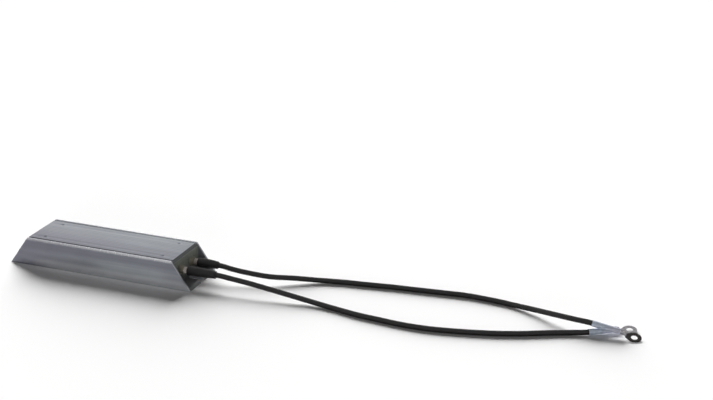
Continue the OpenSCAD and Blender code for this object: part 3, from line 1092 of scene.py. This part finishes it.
@dataclass
class Housing:
    """The extruded body, the plates that close it and the bead that seals each plate."""

    edge: float = 0.14 * MM
    flute_floor: float = 19.9 * MM
    flute_wear: float = 0.045 * MM
    plate_x: float = 57.0 * MM
    cavity_width: float = 36.0 * MM
    cavity_height: float = 15.5 * MM
    cavity_middle: float = LEAD_HEIGHT
    cavity_corner: float = 1.0 * MM
    bead_width: float = 0.85 * MM
    bead_rise: float = 0.65 * MM
    bead_crown: float = 0.12 * MM
    bead_waver: float = 0.11 * MM

    def soften(self, material: Material) -> None:
        """Makes the shown body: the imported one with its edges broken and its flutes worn.

        Args:
            material: Its finish.
        """
        piece = Piece("housing_body")
        piece.start_from(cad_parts["housing"])
        bpy.ops.mesh.dissolve_limited(angle_limit=math.radians(0.4))
        near = 0.02 * MM
        piece.pick(lambda v: self.flute_floor - near < v.z < self.flute_floor + near)
        bpy.ops.transform.translate(value=(0.0, 0.0, self.flute_wear))
        piece.modifier("BEVEL", width=self.edge, segments=2, limit_method="ANGLE",
                       angle_limit=math.radians(45.0), use_clamp_overlap=True)
        piece.finish(material, Slot.HOUSING, 28.0, "housing")

    def margin(self, v: Vector) -> float:
        """Measures how far a point lies inside the outline of the cavity.

        Args:
            v: The point.

        Returns:
            Its distance from the outline, which is 0 on the cavity's wall.
        """
        across = self.cavity_width / 2.0 - abs(v.y)
        up = self.cavity_height / 2.0 - abs(v.z - self.cavity_middle)
        corner = self.cavity_corner
        if across < corner and up < corner:
            return corner - math.hypot(corner - across, corner - up)
        return min(across, up)

    def seal_plate(self, name: str, way: float, material: Material) -> None:
        """Runs a bead of compound round the edge of an end plate.

        Args:
            name: The bead's name.
            way: 1 for the end with the leads, -1 for the other end.
            material: Its finish.
        """
        face = way * (self.plate_x - 0.02 * MM)
        crest = face + way * self.bead_rise
        middle = (face, 0.0, self.cavity_middle)
        piece = Piece(name)
        piece.start(bpy.ops.mesh.primitive_grid_add, x_subdivisions=12, y_subdivisions=26,
                    size=1.0, location=middle, rotation=(0.0, math.pi / 2.0, 0.0))
        bpy.ops.mesh.select_all(action="SELECT")
        bpy.ops.transform.resize(value=(1.0, self.cavity_width, self.cavity_height),
                                 center_override=middle)
        near = 0.05 * MM
        wide, high = self.cavity_width / 2.0 - near, self.cavity_height / 2.0 - near
        piece.pick(lambda v: abs(v.y) > wide and abs(v.z - self.cavity_middle) > high)
        bpy.ops.mesh.bevel(affect="VERTICES", offset=self.cavity_corner, segments=4)
        bpy.ops.mesh.select_mode(type="FACE")
        bpy.ops.mesh.select_all(action="SELECT")
        bpy.ops.mesh.inset(thickness=self.bead_width, use_boundary=True)
        bpy.ops.mesh.delete(type="FACE")
        piece.pick(lambda v: self.margin(v) < near, edges=True)
        bpy.ops.mesh.extrude_edges_move(
            TRANSFORM_OT_translate={"value": (way * self.bead_rise, 0.0, 0.0)}
        )
        piece.pick(lambda v: abs(v.x - crest) < near or self.margin(v) > near, edges=True)
        bpy.ops.mesh.bridge_edge_loops(number_cuts=2, interpolation="LINEAR")
        piece.pick(lambda v: near < self.margin(v) < self.bead_width - near)
        bpy.ops.transform.translate(value=(-way * self.bead_crown, 0.0, 0.0))
        piece.pick(lambda v: abs(v.x - crest) < near or self.margin(v) > near)
        bpy.ops.transform.vertex_random(offset=self.bead_waver, seed=7)
        piece.turn_out()
        piece.finish(material, Slot.END_PLATE, 60.0)

    def build(self) -> None:
        """Builds and dresses the body, its end plates and their beads."""
        metal = ExtrudedAluminium().material()
        self.soften(metal)
        dress("housing", metal)
        plate = replace(SEAL, name="plate_compound", pale=(0.232, 0.247, 0.213),
                        deep=(0.146, 0.158, 0.135), grain=2600.0, roughness=0.7,
                        relief=0.12 * MM).material()
        seal = SEAL.material()
        for end, way in (("left", -1.0), ("right", 1.0)):
            dress("end_plate_" + end, plate)
            self.seal_plate("plate_bead_" + end, way, seal)


@dataclass
class Bushings:
    """The ceramic bushings that carry the leads through the end plate, and their fillets."""

    inner_x: float = 54.5 * MM
    plate_x: float = 57.0 * MM
    tip_x: float = 60.5 * MM
    bore: float = 2.2 * MM
    body_radius: float = 3.0 * MM
    flange_radius: float = 3.5 * MM
    tip_radius: float = 2.9 * MM

    def make_bushing(self, side: Side, material: Material) -> None:
        """Turns one bushing, with a flange at the plate and a rounded tip.

        Args:
            side: Which lead it carries.
            material: Its finish.
        """
        a, p, b = self.inner_x, self.plate_x, self.tip_x
        bore, body, flange, tip = self.bore, self.body_radius, self.flange_radius, self.tip_radius
        profile = [
            (a, bore), (a, body - 0.15 * MM), (a + 0.15 * MM, body), (p, body),
            (p, flange - 0.15 * MM), (p + 0.12 * MM, flange - 0.02 * MM),
            (p + 0.35 * MM, flange), (p + 0.9 * MM, flange - 0.08 * MM),
            (b - 0.4 * MM, tip + 0.06 * MM), (b - 0.14 * MM, tip - 0.02 * MM),
            (b, tip - 0.18 * MM), (b, bore + 0.2 * MM), (b - 0.1 * MM, bore + 0.05 * MM),
            (b - 0.35 * MM, bore),
        ]
        piece = revolved("bushing_body_" + side.word, profile, side.on_axis())
        piece.finish(material, Slot.BUSHING, 30.0, "bushing_" + side.word)

    def make_fillet(self, side: Side, material: Material) -> None:
        """Lays the fillet of compound round one bushing's foot.

        Args:
            side: Which bushing it seals.
            material: Its finish.
        """
        p, flange = self.plate_x, self.flange_radius
        profile = [
            (p - 0.02 * MM, flange - 0.2 * MM), (p - 0.02 * MM, flange + 0.95 * MM),
            (p + 0.08 * MM, flange + 0.6 * MM), (p + 0.25 * MM, flange + 0.28 * MM),
            (p + 0.55 * MM, flange + 0.06 * MM), (p + 0.62 * MM, flange - 0.2 * MM),
        ]
        piece = revolved("bushing_fillet_" + side.word, profile, side.on_axis())
        bpy.ops.transform.vertex_random(offset=0.05 * MM, seed=3)
        piece.finish(material, Slot.END_PLATE, 60.0)

    def build(self) -> None:
        """Builds both bushings and their fillets."""
        stoneware = Mineral("bushing_stoneware", (0.26, 0.245, 0.19), (0.14, 0.13, 0.095), 3600.0,
                            0.55, 0.04 * MM).material()
        seal = replace(SEAL, name="fillet_compound").material()
        for side in Side:
            self.make_bushing(side, stoneware)
            self.make_fillet(side, seal)
            dress("bushing_" + side.word, stoneware)


@dataclass
class Interior:
    """What the closed housing holds: both elements, their connections and the insulation."""

    mica: MicaSheet = MicaSheet()
    cement: Mineral = Mineral("poured_cement", (0.74, 0.71, 0.64), (0.52, 0.50, 0.44), 1500.0,
                              0.85, 0.2 * MM)
    core: Mineral = Mineral("fired_core", (0.83, 0.80, 0.72), (0.72, 0.69, 0.60), 3200.0, 0.5,
                            0.02 * MM)
    wire: DrawnMetal = DrawnMetal("element_wire", (0.52, 0.48, 0.44), (0.30, 0.27, 0.25), 0.34)
    steel: DrawnMetal = DrawnMetal("plated_steel", (0.64, 0.63, 0.60), (0.42, 0.41, 0.40), 0.28)
    brass: DrawnMetal = DrawnMetal("drawn_brass", (0.80, 0.66, 0.38), (0.55, 0.42, 0.20), 0.28)

    def build(self) -> None:
        """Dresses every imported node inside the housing."""
        sides = [side.word for side in Side]
        for finish, nodes in (
            (self.mica, ["mica_sheet_" + place for place in ("top", "bottom", "front", "back")]),
            (self.cement, ["filling"]),
            (self.core, ["core_" + word for word in sides]),
            (self.wire, ["winding_" + word for word in sides]),
            (self.brass, ["crimp_" + word for word in sides]),
            (self.steel, ["cap_" + word + end for word in sides for end in ("_left", "_right")]
             + ["bridge_strip"]),
        ):
            material = finish.material()
            for node in nodes:
                dress(node, material)
        for side in Side:
            strands = Strands("bare_conductor_" + side.word, side.on_axis())
            dress("conductor_" + side.word, strands.material())


def route_of(*points: Triple) -> List[Triple]:
    """Points given in millimetres, in metres."""
    return [(x * MM, y * MM, z * MM) for x, y, z in points]


FRONT_LEAD = Lead(
    side=Side.FRONT,
    sleeve_end=84 * MM,
    route=route_of(
        (97, -8, 9.3), (110, -8, 8.1), (124, -8, 6.4), (138, -8, 4.6), (152, -8, 2.8),
        (168, -10, 1.8), (187, -14, 1.8), (205, -16, 1.8), (222, -17.5, 1.8), (239, -17, 1.8),
        (254, -14.5, 1.8), (269, -11, 1.8), (284, -6.5, 1.8), (298, -1, 1.8), (312, 6, 1.8),
        (325, 12, 1.8),
    ),
    terminal_place=(337 * MM, 17 * MM, 2.1 * MM),
    tilt=(8.0, -0.8, 34.0),
    ring_shade=0.15,
)

BACK_LEAD = Lead(
    side=Side.BACK,
    sleeve_end=78 * MM,
    route=route_of(
        (89, 8.5, 8.8), (98, 10, 7.4), (114, 14, 5.3), (129, 21.5, 3.7), (144, 28, 2.1),
        (160, 32, 1.8), (177, 34.5, 1.8), (193, 37, 1.8), (210, 39, 1.8), (227, 41, 1.8),
        (244, 43, 1.8), (260, 42.5, 1.8), (277, 40.5, 1.8), (295, 34.5, 3.5), (310, 27, 6),
        (325.5, 21.5, 7.5),
    ),
    terminal_place=(338.5 * MM, 20.5 * MM, 7.1 * MM),
    tilt=(12.0, 8.4, 0.5),
    ring_shade=1.0,
)


def main() -> None:
    """Builds the stage, the leads and the housing."""
    logging.basicConfig(level=logging.INFO, format="%(name)s: %(message)s")
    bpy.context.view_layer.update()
    Studio().build()
    FRONT_LEAD.build()
    BACK_LEAD.build()
    Housing().build()
    Bushings().build()
    Interior().build()
    bpy.context.view_layer.update()


if __name__ == "__main__":
    main()
